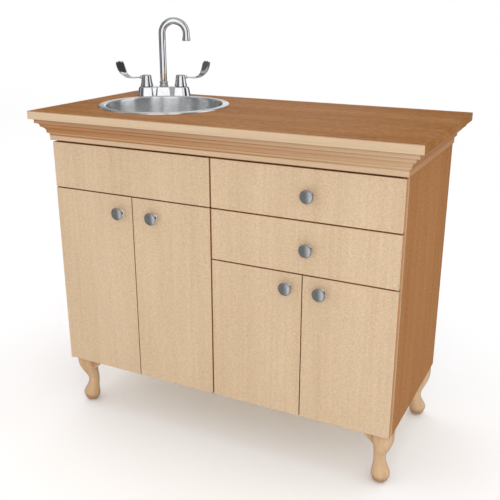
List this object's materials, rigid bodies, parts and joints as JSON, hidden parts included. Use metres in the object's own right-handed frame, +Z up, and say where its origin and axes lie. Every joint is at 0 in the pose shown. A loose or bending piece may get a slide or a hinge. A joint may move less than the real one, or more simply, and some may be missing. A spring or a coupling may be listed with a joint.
{
  "type": "portable handwash sink",
  "caption": "Wooden handwash cabinet on cabriole legs, with a round steel basin, gooseneck faucet with wrist blades, drawers, doors and its own water tanks.",
  "frame": {"origin": "on the floor under the centre of the countertop", "axes": "+X to the user's right along the cabinet, +Y from the doors to the back, +Z up"},
  "size_m": [1.089, 0.516, 1.1486],
  "materials": {
    "laminate_top": "satin printed laminate, darker maple",
    "maple_laminate": "satin light maple laminate, vertical grain",
    "maple_trim": "lacquered solid maple moulding",
    "maple_legs": "lacquered solid maple",
    "birch_board": "melamine faced board, satin",
    "hardboard": "tempered hardboard, matte",
    "stainless": "bright satin stainless steel",
    "chrome": "polished chrome plate",
    "zinc_steel": "zinc plated steel",
    "black_rubber": "matte moulded rubber",
    "black_plastic": "matte moulded plastic",
    "grey_hose": "ribbed flexible plastic",
    "braided_hose": "braided stainless sleeve",
    "fresh_tank_plastic": "natural blow moulded plastic",
    "waste_tank_plastic": "grey blow moulded plastic",
    "blue_plastic": "moulded blue cap",
    "grey_plastic": "moulded dark cap",
    "white_enamel": "white baked enamel"
  },
  "bodies": {
    "cabinet": {"countertop": "laminate_top", "crown_front": "maple_trim", "crown_left": "maple_trim", "crown_right": "maple_trim", "side_panel_left": "maple_laminate", "side_panel_right": "maple_laminate", "centre_partition": "birch_board", "bottom_panel": "birch_board", "back_panel": "hardboard", "front_apron": "maple_laminate", "false_front_rail": "birch_board", "drawer_divider": "birch_board", "false_front": "maple_laminate", "leg_front_left": "maple_legs", "leg_front_right": "maple_legs", "leg_back_left": "maple_legs", "leg_back_right": "maple_legs", "leg_plates": "zinc_steel", "leg_glides": "black_rubber", "basin": "stainless", "basin_clips": "zinc_steel", "drain_flange": "stainless", "drain_locknut": "black_plastic", "waste_hose": "grey_hose", "faucet_base": "chrome", "faucet_locknuts": "zinc_steel", "spout_nut": "chrome", "pivot_brackets": "zinc_steel", "cabinet_rails": "zinc_steel", "fresh_water_tank": "fresh_tank_plastic", "waste_water_tank": "waste_tank_plastic", "water_pump": "black_plastic", "water_heater": "white_enamel", "supply_hoses": "braided_hose", "power_inlet": "black_plastic"},
    "door_1": {"door_1": "maple_laminate", "door_1_knob": "chrome"},
    "door_2": {"door_2": "maple_laminate", "door_2_knob": "chrome"},
    "door_3": {"door_3": "maple_laminate", "door_3_knob": "chrome"},
    "door_4": {"door_4": "maple_laminate", "door_4_knob": "chrome"},
    "drawer_1": {"drawer_1_front": "maple_laminate", "drawer_1_box": "birch_board", "drawer_1_bottom": "hardboard", "drawer_1_knob": "chrome", "drawer_1_runners": "zinc_steel"},
    "drawer_2": {"drawer_2_front": "maple_laminate", "drawer_2_box": "birch_board", "drawer_2_bottom": "hardboard", "drawer_2_knob": "chrome", "drawer_2_runners": "zinc_steel"},
    "spout": {"spout": "chrome", "spout_aerator": "chrome"},
    "left_handle": {"left_handle": "chrome"},
    "right_handle": {"right_handle": "chrome"},
    "strainer": {"strainer_basket": "stainless"},
    "fresh_cap": {"fresh_tank_cap": "blue_plastic"},
    "waste_cap": {"waste_tank_cap": "grey_plastic"}
  },
  "joints": [
    {"name": "door_1_hinge", "type": "hinge", "parent": "cabinet", "child": "door_1", "pos_m": [-0.495, -0.21, 0.43], "axis": [0, 0, -1], "range_deg": [0, 105]},
    {"name": "door_2_hinge", "type": "hinge", "parent": "cabinet", "child": "door_2", "pos_m": [-0.0073, -0.21, 0.43], "axis": [0, 0, 1], "range_deg": [0, 85]},
    {"name": "door_3_hinge", "type": "hinge", "parent": "cabinet", "child": "door_3", "pos_m": [0.0073, -0.21, 0.36], "axis": [0, 0, -1], "range_deg": [0, 85]},
    {"name": "door_4_hinge", "type": "hinge", "parent": "cabinet", "child": "door_4", "pos_m": [0.495, -0.21, 0.36], "axis": [0, 0, 1], "range_deg": [0, 105]},
    {"name": "drawer_1_slide", "type": "slide", "parent": "cabinet", "child": "drawer_1", "axis": [0, -1, 0], "range_m": [0, 0.32]},
    {"name": "drawer_2_slide", "type": "slide", "parent": "cabinet", "child": "drawer_2", "axis": [0, -1, 0], "range_m": [0, 0.32]},
    {"name": "spout_swivel", "type": "hinge", "parent": "cabinet", "child": "spout", "pos_m": [-0.39128, 0.18906, 0.95], "axis": [0, 0, 1], "continuous": true},
    {"name": "left_handle_turn", "type": "hinge", "parent": "cabinet", "child": "left_handle", "pos_m": [-0.43863, 0.16524, 0.96], "axis": [0, 0, 1], "range_deg": [0, 90]},
    {"name": "right_handle_turn", "type": "hinge", "parent": "cabinet", "child": "right_handle", "pos_m": [-0.34393, 0.21287, 0.96], "axis": [0, 0, -1], "range_deg": [0, 90]},
    {"name": "strainer_lift", "type": "slide", "parent": "cabinet", "child": "strainer", "axis": [0, 0, 1], "range_m": [0, 0.12]},
    {"name": "fresh_cap_screw", "type": "hinge", "parent": "cabinet", "child": "fresh_cap", "pos_m": [-0.3635, -0.055, 0.515], "axis": [0, 0, 1], "range_deg": [0, 540]},
    {"name": "waste_cap_screw", "type": "hinge", "parent": "cabinet", "child": "waste_cap", "pos_m": [-0.1305, -0.055, 0.515], "axis": [0, 0, 1], "range_deg": [0, 540]}
  ]
}
